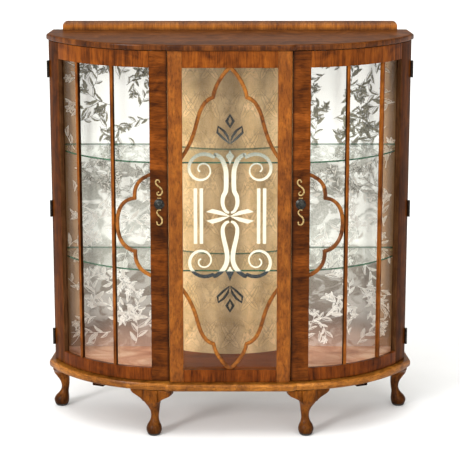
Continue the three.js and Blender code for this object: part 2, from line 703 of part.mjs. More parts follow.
// A cabriole leg, turned on its axis, then squared at the knee and swept out and back. Each
// station is a height, a half width, how square the section is, how far it sweeps outwards, and
// its share of the leg's own toe.
const legStations = [
  [0, 14, 0, -5, 1],
  [3, 18, 0, -5, 1],
  [11, 21.6, 0, -5, 1],
  [20, 23, 0, -5, 1],
  [31, 20.3, 0, -5.5, 0.75],
  [40, 15.6, 0, -6.5, 0.4],
  [50, 12.3, 0, -8, 0.15],
  [60, 11.7, 0, -9, 0],
  [72, 13, 0.1, -9, 0],
  [84, 15.4, 0.3, -7, 0],
  [97, 18.8, 0.6, -3, 0],
  [109, 22.4, 0.85, 0, 0],
  [122, LEG_HALF_WIDTH, 1, 0, 0],
  [LEG_HEIGHT - GAP, LEG_HALF_WIDTH, 1, 0, 0],
];

function legGeometry(place) {
  const last = legStations.length - 1;
  const profile = [new THREE.Vector2(0, 0),
    ...legStations.map(([height, width]) => new THREE.Vector2(width, height)),
    new THREE.Vector2(0, legStations[last][0])];
  const leg = new THREE.LatheGeometry(profile, 16).rotateX(Math.PI / 2);
  const position = leg.attributes.position;
  const outward = radians(place.sweep - place.yaw);
  for (let i = 0; i < position.count; i += 1) {
    const height = position.getZ(i);
    const station = legStations.find(([z]) => Math.abs(z - height) < 1e-3);
    const [, , square, sweep, toeShare] = station;
    const reach = sweep + toeShare * place.toe;
    const x = position.getX(i);
    const y = position.getY(i);
    const radius = Math.hypot(x, y);
    const flat = radius > 0 ? radius / Math.max(Math.abs(x), Math.abs(y)) : 1;
    const swell = 1 + square * (Math.min(flat, 1.3) - 1);
    position.setXY(i, x * swell + reach * Math.sin(outward),
      y * swell - reach * Math.cos(outward));
  }
  leg.computeVertexNormals();
  return leg;
}

// A knee bracket, drawn with its tall end at X = 0 and its tip along +X.
function bracketGeometry() {
  const top = LEG_HEIGHT - GAP;
  const shape = new THREE.Shape();
  shape.moveTo(0, top);
  shape.lineTo(BRACKET_LENGTH, top);
  shape.lineTo(BRACKET_LENGTH, top - BRACKET_LIP);
  shape.bezierCurveTo(BRACKET_LENGTH - 1, top - BRACKET_SWELL, BRACKET_LENGTH / 3,
    top - BRACKET_SWELL, 0, top - BRACKET_HEIGHT);
  shape.closePath();
  const front = -BRACKET_THICKNESS / 2 - BRACKET_SETBACK;
  return standUp(shape, front, front + BRACKET_THICKNESS, BRACKET_EDGE);
}

function legPieces(half, name, place, bracketSides) {
  const leg = new THREE.Group();
  leg.position.set(place.x, place.y, 0);
  leg.rotation.z = radians(place.yaw);
  half.add(leg);
  add(leg, `${name}_leg`, legGeometry(place), materials.walnut);
  for (const [label, direction] of bracketSides) {
    const bracket = add(leg, `${name}_${label}`, bracketGeometry(), materials.walnut);
    bracket.position.x = direction * (LEG_HALF_WIDTH + GAP);
    bracket.scale.x = direction;
  }
}

bothSides((half, side) => {
  legPieces(half, `${side}_front`, FRONT_LEG,
    [['inner_knee_bracket', -1], ['outer_knee_bracket', 1]]);
  legPieces(half, `${side}_rear`, REAR_LEG, [['knee_bracket', -1]]);
});

export default cabinet;
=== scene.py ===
import json
import math
import random

import bmesh
import bpy
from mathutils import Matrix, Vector

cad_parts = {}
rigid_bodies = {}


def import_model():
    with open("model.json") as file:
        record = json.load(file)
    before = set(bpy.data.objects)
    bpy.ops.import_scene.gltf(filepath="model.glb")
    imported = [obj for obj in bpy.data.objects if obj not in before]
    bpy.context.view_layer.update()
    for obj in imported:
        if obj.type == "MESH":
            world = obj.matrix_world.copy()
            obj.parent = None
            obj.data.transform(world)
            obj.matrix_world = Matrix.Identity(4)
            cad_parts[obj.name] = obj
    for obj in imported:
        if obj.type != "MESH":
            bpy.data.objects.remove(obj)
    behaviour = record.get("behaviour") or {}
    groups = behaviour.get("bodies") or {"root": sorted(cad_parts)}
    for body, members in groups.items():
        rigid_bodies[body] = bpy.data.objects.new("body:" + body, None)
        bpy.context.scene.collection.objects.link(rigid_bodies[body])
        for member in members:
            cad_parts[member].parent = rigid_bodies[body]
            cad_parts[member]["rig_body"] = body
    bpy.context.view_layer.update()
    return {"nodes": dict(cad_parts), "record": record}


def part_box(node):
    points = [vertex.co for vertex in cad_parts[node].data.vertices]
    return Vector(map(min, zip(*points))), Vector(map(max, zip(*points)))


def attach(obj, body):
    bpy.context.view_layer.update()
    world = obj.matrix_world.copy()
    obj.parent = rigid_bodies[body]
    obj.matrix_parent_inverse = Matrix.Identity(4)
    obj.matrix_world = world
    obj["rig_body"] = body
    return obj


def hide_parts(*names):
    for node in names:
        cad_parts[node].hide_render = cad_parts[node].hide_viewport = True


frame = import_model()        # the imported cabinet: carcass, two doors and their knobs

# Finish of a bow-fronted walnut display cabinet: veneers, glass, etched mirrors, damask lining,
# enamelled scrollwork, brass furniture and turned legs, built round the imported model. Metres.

scene = bpy.context.scene
SIDES = {"right": 1, "left": -1}
slot_of = {part["node"]: part["material_slot"] for part in frame["record"]["subparts"]}

# ---
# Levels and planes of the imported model, and the radii of its doors' bow and its damask panel

MM = 0.001
PLINTH_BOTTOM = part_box("plinth")[0].z
PILASTER_LOW, PILASTER_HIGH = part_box("right_pilaster")
STEP_X = PILASTER_HIGH.x
GLASS_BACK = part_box("centre_glass")[1].y
MIRROR_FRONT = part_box("right_mirror")[0].y
BOW_RADIUS = 0.396
BOW_MIDDLE = Vector((STEP_X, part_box("right_door_lock_stile")[0].y + BOW_RADIUS))
DAMASK_RADIUS = 0.300
DAMASK_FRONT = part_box("centre_back_panel")[0].y
LINING_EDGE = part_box("centre_back_panel")[1].x


def on_bow(degrees, side):
    """The plan point on one door's face at an angle from the centre section outwards."""
    turn = math.radians(degrees)
    return Vector((side * (BOW_MIDDLE.x + BOW_RADIUS * math.sin(turn)),
                   BOW_MIDDLE.y - BOW_RADIUS * math.cos(turn)))


# ---
# Material building blocks


class Look:
    """A material and short calls for the nodes that the finishes share."""

    def __init__(self, name):
        self.material = bpy.data.materials.new(name)
        self.material.use_nodes = True
        self.tree = self.material.node_tree
        self.tree.nodes.clear()
        self.place = self.put("ShaderNodeTexCoord").outputs["Object"]
        split = self.put("ShaderNodeSeparateXYZ", {0: self.place})
        self.x, self.y, self.z = split.outputs

    def put(self, kind, inputs=None, **settings):
        node = self.tree.nodes.new(kind)
        for key, value in settings.items():
            setattr(node, key, value)
        for key, value in (inputs or {}).items():
            if isinstance(value, bpy.types.NodeSocket):
                self.tree.links.new(value, node.inputs[key])
            else:
                node.inputs[key].default_value = value
        return node

    def math(self, operation, first, second=0.0, clamp=False):
        return self.put("ShaderNodeMath", {0: first, 1: second}, operation=operation,
                        use_clamp=clamp).outputs[0]

    def noise(self, stretch, detail=5.0, roughness=0.6, distortion=0.0, shift=0.0):
        """Noise with its cycles per metre along X, Y and Z."""
        mapped = self.put("ShaderNodeMapping", {
            "Vector": self.place, "Location": (shift, shift * 0.7, shift * 1.3),
            "Scale": stretch}).outputs[0]
        return self.put("ShaderNodeTexNoise", {
            "Vector": mapped, "Scale": 1.0, "Detail": detail, "Roughness": roughness,
            "Distortion": distortion}).outputs["Fac"]

    def ramp(self, factor, stops, interpolation="LINEAR"):
        node = self.put("ShaderNodeValToRGB", {0: factor})
        ramp = node.color_ramp
        ramp.interpolation = interpolation
        while len(ramp.elements) < len(stops):
            ramp.elements.new(0.5)
        for element, (position, value) in zip(ramp.elements, stops):
            colour = value if isinstance(value, tuple) else (value,) * 3
            element.position = position
            element.color = (*colour, 1.0)
        return node.outputs[0]

    def rise(self, source, low, high):
        """0 below low, 1 above high and a straight line between them."""
        return self.put("ShaderNodeMapRange", {
            "Value": source, "From Min": low, "From Max": high}).outputs[0]

    def mix(self, factor, first, second, blend="MIX"):
        def colour(value):
            return (*value, 1.0) if isinstance(value, tuple) else value
        node = self.put("ShaderNodeMix", {0: factor, 6: colour(first), 7: colour(second)},
                        data_type="RGBA", blend_type=blend)
        return node.outputs[2]

    def shade(self, colour, value):
        """A colour made darker or lighter by a grey value."""
        return self.mix(1.0, colour, value, "MULTIPLY")

    def bump(self, height, distance):
        return self.put("ShaderNodeBump", {"Strength": 1.0, "Distance": distance,
                                           "Height": height}).outputs[0]

    def surface(self, **sockets):
        inputs = {key.replace("_", " "): value for key, value in sockets.items()}
        for key, value in inputs.items():
            if isinstance(value, tuple) and len(value) == 3:
                inputs[key] = (*value, 1.0)
        return self.put("ShaderNodeBsdfPrincipled", inputs).outputs[0]

    def blend(self, factor, first, second):
        return self.put("ShaderNodeMixShader", {0: factor, 1: first, 2: second}).outputs[0]

    def glancing(self, straight_on):
        """The share of light that a smooth face mirrors: least straight on, all of it edge on."""
        facing = self.put("ShaderNodeLayerWeight", {"Blend": 0.5}).outputs["Facing"]
        steep = self.math("POWER", facing, 5.0)
        return self.math("ADD", self.math("MULTIPLY", steep, 1.0 - straight_on), straight_on)

    def finish(self, shader):
        output = self.put("ShaderNodeOutputMaterial")
        self.tree.links.new(shader, output.inputs["Surface"])
        return self.material


# ---
# Wood

UPRIGHT = (95, 95, 3.5)
ACROSS = (3.5, 95, 95)
CROSS_BANDED = (120, 120, 6)


def wood(name, dark, middle, light, grain=UPRIGHT, stripes=0.3, stripe_scale=0.2,
         blocks=(), bands=(), edge=None, wear=0.0, roughness=0.3, gloss=0.06, shift=0.0):
    """French-polished figured veneer. blocks are (height, tone) pairs: pieces of veneer laid one
    above another. bands are (height, tone) pairs too, but fade into each other; on the gallery and
    plinth they are painted highlight and shade across the moulding. edge is the half width at which
    the painted shade beside a joint is darkest. wear is how much the finish is speckled and rubbed."""
    look = Look(name)
    streaks = look.noise(grain, 6.0, 0.62, 0.9, shift)
    broad = tuple(value * stripe_scale for value in grain)
    stripe = look.noise(broad, 3.0, 0.55, 0.6, shift + 3.0)
    mottle = look.noise((17, 17, 13), 4.0, 0.55, 1.4, shift + 7.0)
    fine = look.noise(tuple(value * 4 for value in grain), 3.0, 0.7, 0.0, shift)
    figure = look.math("ADD", look.math("MULTIPLY", streaks, 0.5 - stripes / 2),
                       look.math("MULTIPLY", stripe, stripes))
    figure = look.math("ADD", figure, look.math("MULTIPLY", mottle, 0.5 - stripes / 2))
    colour = look.ramp(figure, [(0.40, dark), (0.50, middle), (0.61, light)])
    colour = look.shade(colour, look.ramp(fine, [(0.36, 0.6), (0.54, 1.0)]))
    # Tone by height: blocks of veneer, and fading bands, which on the gallery and plinth are painted
    # highlight and shade.
    for levels, joining in ((blocks, "CONSTANT"), (bands, "LINEAR")):
        if levels:
            height = look.rise(look.z, levels[0][0], levels[-1][0])
            span = levels[-1][0] - levels[0][0]
            stops = [((level - levels[0][0]) / span, tone) for level, tone in levels]
            colour = look.shade(colour, look.ramp(height, stops, joining))
    # Painted shade: the wood beside a joint is darkened, darkest at the edge half width.
    if edge:
        near = look.rise(look.math("ABSOLUTE", look.x), edge, edge + 0.010)
        colour = look.shade(colour, look.ramp(near, [(0.0, 0.12), (0.35, 0.45), (1.0, 1.0)]))
    if wear:
        specks = look.noise((300, 300, 300), 2.0, 0.75, 0.0, shift + 11.0)
        colour = look.shade(colour, look.ramp(specks, [(0.35, 1.0 - wear), (0.45, 1.0)]))
    rough = look.math("ADD", look.math("MULTIPLY", fine, 0.16), roughness - 0.08)
    return look.finish(look.surface(
        Base_Color=colour, Roughness=rough, Specular_IOR_Level=gloss,
        Normal=look.bump(fine, 0.00010)))


def pane(name, tint, gloss):
    """Thin clear glass: it mirrors more at a glancing angle and is see-through elsewhere."""
    look = Look(name)
    smears = look.noise((9, 9, 5), 3.0, 0.6, 0.5)
    share = look.math("MULTIPLY", look.glancing(0.04), gloss, clamp=True)
    clear = look.put("ShaderNodeBsdfTransparent", {"Color": (*tint, 1.0)}).outputs[0]
    shine = look.put("ShaderNodeBsdfGlossy", {
        "Color": (1, 1, 1, 1), "Roughness": look.math("MULTIPLY", smears, 0.05)}).outputs[0]
    return look.finish(look.blend(share, clear, shine))


def shelf_glass():
    """Clear plate glass whose polished front edge looks green."""
    look = Look("shelf_glass")
    share = look.math("MULTIPLY", look.glancing(0.04), 0.5, clamp=True)
    clear = look.put("ShaderNodeBsdfTransparent", {"Color": (0.975, 0.99, 0.98, 1)}).outputs[0]
    shine = look.put("ShaderNodeBsdfGlossy", {
        "Color": (1, 1, 1, 1), "Roughness": 0.03}).outputs[0]
    face = look.blend(share, clear, shine)
    ripple = look.noise((60, 60, 200), 3.0)
    green = look.ramp(ripple, [(0.35, (0.006, 0.040, 0.018)), (0.65, (0.025, 0.120, 0.055))])
    edge = look.surface(Base_Color=green, Roughness=0.12, Specular_IOR_Level=0.5)
    normal = look.put("ShaderNodeNewGeometry").outputs["True Normal"]
    backward = look.put("ShaderNodeSeparateXYZ", {0: normal}).outputs[1]
    on_edge = look.math("LESS_THAN", backward, -0.5)
    return look.finish(look.blend(on_edge, face, edge))


# Painted reflection tones of the mirror by height: pinkish low down, smoky between and bright above.
PAINTED_REFLECTION_TONES = [(0.0, (0.56, 0.41, 0.33)), (0.12, (0.24, 0.19, 0.155)), (0.30, (0.27, 0.24, 0.20)),
                (0.36, (0.66, 0.66, 0.61)), (0.45, (0.60, 0.60, 0.55)), (0.52, (0.42, 0.41, 0.36)),
                (0.645, (0.55, 0.54, 0.49)), (0.665, (1.0, 1.0, 0.98)), (1.0, (1.0, 1.0, 0.99))]
PAINTED_SIDE_EDGE = 0.458     # where the painted reflection of the brown side begins, from the middle
PAINTED_SIDE_BLEND = 0.006        # and how much further out it is complete


def mirror():
    """Silvering with its reflection painted in: bright above, stippled and duller below, and a
    painted reflection of the brown side along its outer edge.
    """
    look = Look("silvered_mirror")
    level = look.rise(look.z, 0.18, 1.15)
    stipple = look.noise((210, 210, 210), 3.0, 0.7, 0.5)
    cloud = look.noise((13, 13, 17), 4.0, 0.6, 1.2, 2.0)
    below = look.rise(look.z, 0.83, 0.81)
    clear = look.math("MULTIPLY", look.ramp(cloud, [(0.48, 0.0), (0.54, 0.8)]), below)
    colour = look.ramp(level, PAINTED_REFLECTION_TONES)
    grain = look.mix(below, (1.0, 1.0, 1.0), look.ramp(stipple, [(0.40, 0.7), (0.58, 1.0)]))
    colour = look.mix(clear, look.shade(colour, grain), (0.93, 0.93, 0.89))
    low = look.rise(look.z, 0.52, 0.48)
    colour = look.mix(look.math("MULTIPLY", low, 0.6), colour, look.ramp(level, PAINTED_REFLECTION_TONES))
    # Painted reflection of the brown side panel along the mirror's outer edge.
    edge = look.rise(look.math("ABSOLUTE", look.x), PAINTED_SIDE_EDGE, PAINTED_SIDE_EDGE + PAINTED_SIDE_BLEND)
    colour = look.mix(edge, colour, (0.42, 0.24, 0.12))
    rough = look.math("ADD", look.math("MULTIPLY", cloud, 0.10), 0.13)
    return look.finish(look.surface(Base_Color=colour, Metallic=0.45, Roughness=rough,
                                    Specular_IOR_Level=0.5))


def etching(name, low_tone, high_tone, edge_tone, turning, contrast):
    """Acid-etched glass over silver with its light painted in: a plain lighter tone below the
    turning height as painted light, a darker hatched one above it as painted shade, and a third
    along the outer edge over the mirror's painted reflection of the side."""
    look = Look(name)
    # Painted light and shade by height: the lighter tone below the turning height, the darker
    # hatched tone above it.
    level = look.rise(look.z, turning - 0.015, turning + 0.015)
    edge = look.rise(look.math("ABSOLUTE", look.x), PAINTED_SIDE_EDGE, PAINTED_SIDE_EDGE + PAINTED_SIDE_BLEND)
    hatch = look.noise((260, 260, 260), 3.0, 0.75, 1.0)
    hatched = look.shade(high_tone, look.ramp(hatch, [(0.40, 1.0 - contrast), (0.56, 1.0)]))
    tone = look.mix(edge, look.mix(level, low_tone, hatched), edge_tone)
    return look.finish(look.surface(
        Base_Color=tone, Roughness=0.55, Metallic=0.1, Normal=look.bump(hatch, 0.0001)))


def damask(name, brightness, roughness):
    """Fine woven cloth on a board: a plain weave with slubs and a slight sheen, with painted
    highlight and shade in upright light and dark bands across it."""
    look = Look(name)
    warp = look.noise((900, 900, 60), 2.0, 0.6)
    weft = look.noise((60, 60, 900), 2.0, 0.6, 0.0, 4.0)
    weave = look.math("MULTIPLY", look.math("ADD", warp, weft), 0.5)
    age = look.noise((11, 11, 8), 4.0, 0.6, 1.0)
    base = look.ramp(age, [(0.32, (0.58, 0.37, 0.16)), (0.62, (0.86, 0.59, 0.31))])
    # Painted highlight and shade: upright light and dark bands across the panel.
    bands = look.ramp(look.rise(look.x, -0.16, 0.16), [
        (0.0, 1.1), (0.10, 1.15), (0.24, 0.62), (0.35, 0.84), (0.50, 0.58), (0.58, 0.68),
        (0.68, 1.12), (0.82, 0.74), (0.93, 1.15), (1.0, 1.0)])
    colour = look.shade(look.shade(base, bands),
                        look.ramp(weave, [(0.40, 0.82 * brightness), (0.60, brightness)]))
    return look.finish(look.surface(
        Base_Color=colour, Roughness=roughness, Specular_IOR_Level=0.15, Sheen_Weight=0.05,
        Sheen_Roughness=0.4, Normal=look.bump(weave, 0.00025)))


def enamel():
    """The fired decoration: black at the foot, then cream, then speckled grey, black on top. The
    dark grey just below the lower shelf and the speckled grey where the upper shelf lies behind are
    painted shade.
    """
    look = Look("scroll_enamel")
    level = look.rise(look.z, 0.38, 0.98)
    # Tones by height: black and cream are the decoration's own; the dark grey below the lower shelf
    # and the speckled grey band at the upper shelf are painted shade.
    stops = [(0.0, (0.004, 0.004, 0.004)), (0.135, (0.006, 0.007, 0.007)),
             (0.203, (0.026, 0.032, 0.035)), (0.212, (0.68, 0.64, 0.50)),
             (0.70, (0.70, 0.66, 0.53)), (0.765, (0.40, 0.41, 0.34)), (0.80, (0.28, 0.30, 0.25)),
             (0.84, (0.07, 0.075, 0.07)), (0.90, (0.010, 0.010, 0.010))]
    colour = look.ramp(level, stops)
    worn = look.noise((700, 700, 700), 2.0, 0.8)
    # The speckled grey band at the upper shelf is painted shade.
    speckled = look.ramp(level, [(0.66, 0.0), (0.76, 1.0), (0.84, 1.0), (0.87, 0.0)])
    spots = look.ramp(worn, [(0.42, 0.45), (0.55, 1.0)])
    colour = look.mix(speckled, colour, look.shade(colour, spots))
    chips = look.ramp(worn, [(0.27, 0.35), (0.31, 1.0)])
    return look.finish(look.surface(
        Base_Color=look.shade(colour, chips), Roughness=0.35, Specular_IOR_Level=0.1))


def metal(name, dull, bright, roughness):
    look = Look(name)
    tarnish = look.noise((180, 180, 180), 4.0, 0.65, 0.6)
    colour = look.ramp(tarnish, [(0.36, dull), (0.62, bright)])
    rough = look.math("ADD", look.math("MULTIPLY", tarnish, 0.25), roughness - 0.1)
    return look.finish(look.surface(Base_Color=colour, Metallic=1.0, Roughness=rough,
                                    Normal=look.bump(tarnish, 0.0001)))


def plywood():
    look = Look("plywood")
    grain = look.noise((60, 60, 1.6), 5.0, 0.65, 0.9)
    patches = look.noise((5, 5, 3), 3.0, 0.5)
    colour = look.ramp(grain, [(0.34, (0.24, 0.15, 0.075)), (0.62, (0.44, 0.31, 0.18))])
    colour = look.shade(colour, look.ramp(patches, [(0.3, 0.8), (0.65, 1.0)]))
    return look.finish(look.surface(Base_Color=colour, Roughness=0.75,
                                    Normal=look.bump(grain, 0.0003)))


def floor_lining():
    """The carcass floor: polished in the centre, pale peach lining paper under the mirrors."""
    look = Look("floor_lining")
    grain = look.noise((6, 90, 60), 5.0, 0.6, 0.8)
    marble = look.noise((9, 12, 12), 5.0, 0.6, 1.2, 3.0)
    bare = look.ramp(grain, [(0.34, (0.10, 0.018, 0.002)), (0.64, (0.22, 0.048, 0.005))])
    paper = look.ramp(marble, [(0.34, (0.44, 0.18, 0.10)), (0.50, (0.62, 0.31, 0.19)),
                               (0.66, (0.78, 0.50, 0.34))])
    aside = look.math("GREATER_THAN", look.math("ABSOLUTE", look.x), LINING_EDGE)
    return look.finish(look.surface(Base_Color=look.mix(aside, bare, paper), Roughness=0.4,
                                    Specular_IOR_Level=0.05))


def pad():
    look = Look("foot_pad")
    grain = look.noise((500, 500, 500), 3.0)
    colour = look.ramp(grain, [(0.4, (0.008, 0.007, 0.006)), (0.6, (0.03, 0.026, 0.022))])
    return look.finish(look.surface(Base_Color=colour, Roughness=0.6,
                                    Normal=look.bump(grain, 0.0002)))


finish = {
    "rail": wood("rail_veneer", (0.05, 0.012, 0.002), (0.150, 0.036, 0.004),
                 (0.255, 0.068, 0.007), CROSS_BANDED),
    "low_rail": wood("low_rail_veneer", (0.035, 0.008, 0.001), (0.100, 0.021, 0.002),
                     (0.17, 0.040, 0.004), CROSS_BANDED, 0.35, shift=2.0),
    # The lock stile's edge beside the pilaster is darkened as painted shade.
    "lock_stile": wood("lock_stile_veneer_painted_shade", (0.038, 0.009, 0.001), (0.098, 0.023, 0.002),
                       (0.17, 0.044, 0.005), (12, 50, 85), 0.35, 0.3,
                       ((0.17, 0.85), (0.50, 1.15), (0.556, 0.7), (0.805, 1.35), (0.97, 1.1),
                        (1.15, 1.0)), edge=STEP_X),
    "pilaster": wood("pilaster_veneer", (0.13, 0.034, 0.004), (0.205, 0.057, 0.006),
                     (0.30, 0.092, 0.010), (75, 75, 22), 0.2, bands=(
                         (0.17, 0.9), (0.6, 0.82), (0.95, 1.05), (1.15, 1.0)), gloss=0.12,
                     shift=4.0),
    "hinge_stile": wood("dark_walnut", (0.028, 0.007, 0.001), (0.064, 0.016, 0.002),
                        (0.115, 0.030, 0.003), UPRIGHT, 0.25, gloss=0.02, shift=5.0),
    "inside": wood("inside_walnut", (0.040, 0.015, 0.005), (0.07, 0.028, 0.010),
                   (0.11, 0.046, 0.018), UPRIGHT, 0.25, gloss=0.02, shift=5.0),
    "bar": wood("bar_walnut", (0.060, 0.015, 0.002), (0.15, 0.040, 0.005),
                (0.27, 0.080, 0.010), UPRIGHT, 0.2, shift=6.0),
    # A darker copy of the bar walnut: painted shade on the bars' sides.
    "bar_side": wood("bar_side_painted_shade_walnut", (0.010, 0.003, 0.001), (0.024, 0.007, 0.002),
                     (0.045, 0.013, 0.003), UPRIGHT, 0.2, gloss=0.02, shift=6.0),
    "bead": wood("bead_walnut", (0.07, 0.018, 0.002), (0.20, 0.060, 0.007),
                 (0.33, 0.115, 0.014), (30, 60, 30), 0.25, gloss=0.15, shift=8.0),
    "top": wood("top_veneer", (0.055, 0.015, 0.002), (0.110, 0.033, 0.006),
                (0.18, 0.058, 0.012), ACROSS, 0.25, roughness=0.34, gloss=0.02, shift=9.0),
    "top_edge": wood("top_edge_veneer", (0.025, 0.006, 0.001), (0.080, 0.020, 0.002),
                     (0.17, 0.048, 0.006), CROSS_BANDED, 0.3, gloss=0.12, roughness=0.22,
                     shift=9.5),
    # The gallery's bands are a painted highlight along its rounded front and painted shade at its
    # top and bottom.
    "gallery": wood("gallery_veneer_painted_light", (0.11, 0.030, 0.004), (0.22, 0.068, 0.008),
                    (0.34, 0.115, 0.014), (170, 60, 10), 0.25, 0.15, bands=(
                        (1.166, 0.45), (1.171, 0.85), (1.178, 1.5), (1.183, 1.1),
                        (1.188, 0.6), (1.192, 0.45)), gloss=0.2, shift=10.0),
    # The plinth's bands are a painted highlight along its rounded moulding and painted shade at its
    # top and bottom edges; its dark specks are wear.
    "plinth": wood("plinth_walnut", (0.10, 0.030, 0.003), (0.22, 0.074, 0.009),
                   (0.36, 0.135, 0.019), (14, 14, 120), 0.3, bands=(
                       (0.146, 0.8), (0.155, 1.1), (0.166, 1.3), (0.171, 0.8)), wear=0.6,
                   gloss=0.14, shift=12.0),
    "leg": wood("leg_walnut", (0.05, 0.014, 0.002), (0.135, 0.038, 0.004),
                (0.23, 0.070, 0.007), (60, 60, 14), 0.25, bands=(
                    (0.0, 0.30), (0.022, 0.42), (0.050, 0.8), (0.10, 1.0), (0.146, 1.05)),
                wear=0.4, gloss=0.06, shift=13.0),
    # Near-black walnut: painted shade on the blocks under the plinth.
    "block": wood("block_walnut_painted_shade", (0.006, 0.002, 0.001), (0.014, 0.004, 0.001),
                  (0.03, 0.009, 0.002), UPRIGHT, 0.2, gloss=0.02, shift=14.0),
    "floor": floor_lining(),
    "ply": plywood(),
    "glass": pane("door_glass", (0.98, 0.98, 0.97), 0.3),
    "shelf": shelf_glass(),
    "mirror": mirror(),
    # The etchings' tones are painted light below each turning height and painted shade above it.
    "etched": etching("etched_leaf", (0.64, 0.61, 0.56), (0.30, 0.28, 0.20),
                      (0.60, 0.47, 0.35), 0.82, 0.5),
    "etched_line": etching("etched_line", (0.98, 0.97, 0.93), (0.11, 0.10, 0.07),
                           (0.95, 0.88, 0.78), 0.66, 0.3),
    "damask": damask("damask_ground", 1.0, 0.62),
    "damask_figure": damask("damask_figure", 1.12, 0.42),
    "damask_line": damask("damask_line", 0.62, 0.6),
    "enamel": enamel(),
    "black_steel": metal("black_steel", (0.012, 0.010, 0.009), (0.045, 0.038, 0.034), 0.45),
    "bronze": metal("blackened_bronze", (0.014, 0.014, 0.013), (0.075, 0.075, 0.068), 0.32),
    "brass": metal("antique_brass", (0.20, 0.125, 0.045), (0.62, 0.44, 0.19), 0.35),
    "pad": pad(),
}

# ---
# Mesh helpers

AROUND = 40     # vertices in each ring of a leg or a knob
WELD = 1e-6
EASED_EDGE = 1.0 * MM
FINE_EDGE = 0.6 * MM
HINGE_EDGE = 0.2 * MM
SHELF_EDGE = 0.5 * MM


def new_piece(name, mesh, body, slot, *materials):
    piece = bpy.data.objects.new(name, mesh)
    scene.collection.objects.link(piece)
    for material in materials:
        mesh.materials.append(material)
    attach(piece, body)
    return piece


def mesh_from(name, vertices, faces, smooth=True, material_of=None):
    mesh = bpy.data.meshes.new(name)
    mesh.from_pydata(vertices, [], faces)
    mesh.update()
    for polygon in mesh.polygons:
        polygon.use_smooth = smooth
        if material_of:
            polygon.material_index = material_of[polygon.index]
    return mesh


def tidy_faces(mesh, weld=False):
    """Turns every face outwards, and joins vertices that lie on each other where asked."""
    work = bmesh.new()
    work.from_mesh(mesh)
    if weld:
        bmesh.ops.remove_doubles(work, verts=work.verts, dist=WELD)
    bmesh.ops.recalc_face_normals(work, faces=work.faces)
    work.to_mesh(mesh)
    work.free()
    return mesh


def soften(piece, width):
    bevel = piece.modifiers.new("edges", "BEVEL")
    bevel.width = width
    bevel.segments = 2
    bevel.limit_method = "ANGLE"
    bevel.angle_limit = math.radians(28)
    normals = piece.modifiers.new("normals", "WEIGHTED_NORMAL")
    normals.keep_sharp = True


def refine(node, material, edge):
    """A finished copy of a CAD node: flat faces rejoined, smooth shading and eased edges."""
    source = frame["nodes"][node]
    mesh = source.data.copy()
    work = bmesh.new()
    work.from_mesh(mesh)
    bmesh.ops.remove_doubles(work, verts=work.verts, dist=WELD)
    bmesh.ops.dissolve_limit(work, angle_limit=math.radians(0.8), verts=work.verts,
                             edges=work.edges)
    work.to_mesh(mesh)
    work.free()
    stale = mesh.attributes.get("custom_normal")
    if stale:
        mesh.attributes.remove(stale)
    mesh.materials.clear()
    for polygon in mesh.polygons:
        polygon.use_smooth = True
        polygon.material_index = 0
    piece = new_piece(f"{node}_finished", mesh, source["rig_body"], slot_of[node], material)
    if edge:
        soften(piece, edge)
    else:
        mesh.set_sharp_from_angle(angle=math.radians(30))
    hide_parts(node)
    return piece


def reface(node, material, chosen):
    """A second material on the faces of a finished copy whose normals are chosen."""
    mesh = bpy.data.objects[f"{node}_finished"].data
    mesh.materials.append(material)
    for polygon in mesh.polygons:
        if chosen(polygon.normal):
            polygon.material_index = 1


def repaint(node, material):
    """A CAD node that keeps its own mesh and takes a finish."""
    mesh = frame["nodes"][node].data
    mesh.materials.clear()
    mesh.materials.append(material)


def smooth_path(points, steps):
    """A Catmull-Rom curve through a few points of any size."""
    last = len(points) - 1
    path = []
    for i in range(last):
        p0, p1, p2, p3 = (Vector(points[min(max(i + k, 0), last)]) for k in (-1, 0, 1, 2))
        for step in range(steps):
            t = step / steps
            path.append(0.5 * ((2 * p1) + (p2 - p0) * t + (2 * p0 - 5 * p1 + 4 * p2 - p3) * t * t
                               + (3 * p1 - p0 - 3 * p2 + p3) * t ** 3))
    path.append(Vector(points[-1]))
    return path


def ring_faces(rows):
    """The quads between rows of vertices that each go once round."""
    faces = []
    for row in range(rows - 1):
        for k in range(AROUND):
            a, b = row * AROUND + k, row * AROUND + (k + 1) % AROUND
            faces.append([a, b, b + AROUND, a + AROUND])
    return faces


def pointing(angle):
    """The unit vector at an angle in the plane of u and v."""
    return Vector((math.cos(angle), math.sin(angle)))


LAYERS = 12
LAYER_STEP = 0.012 * MM


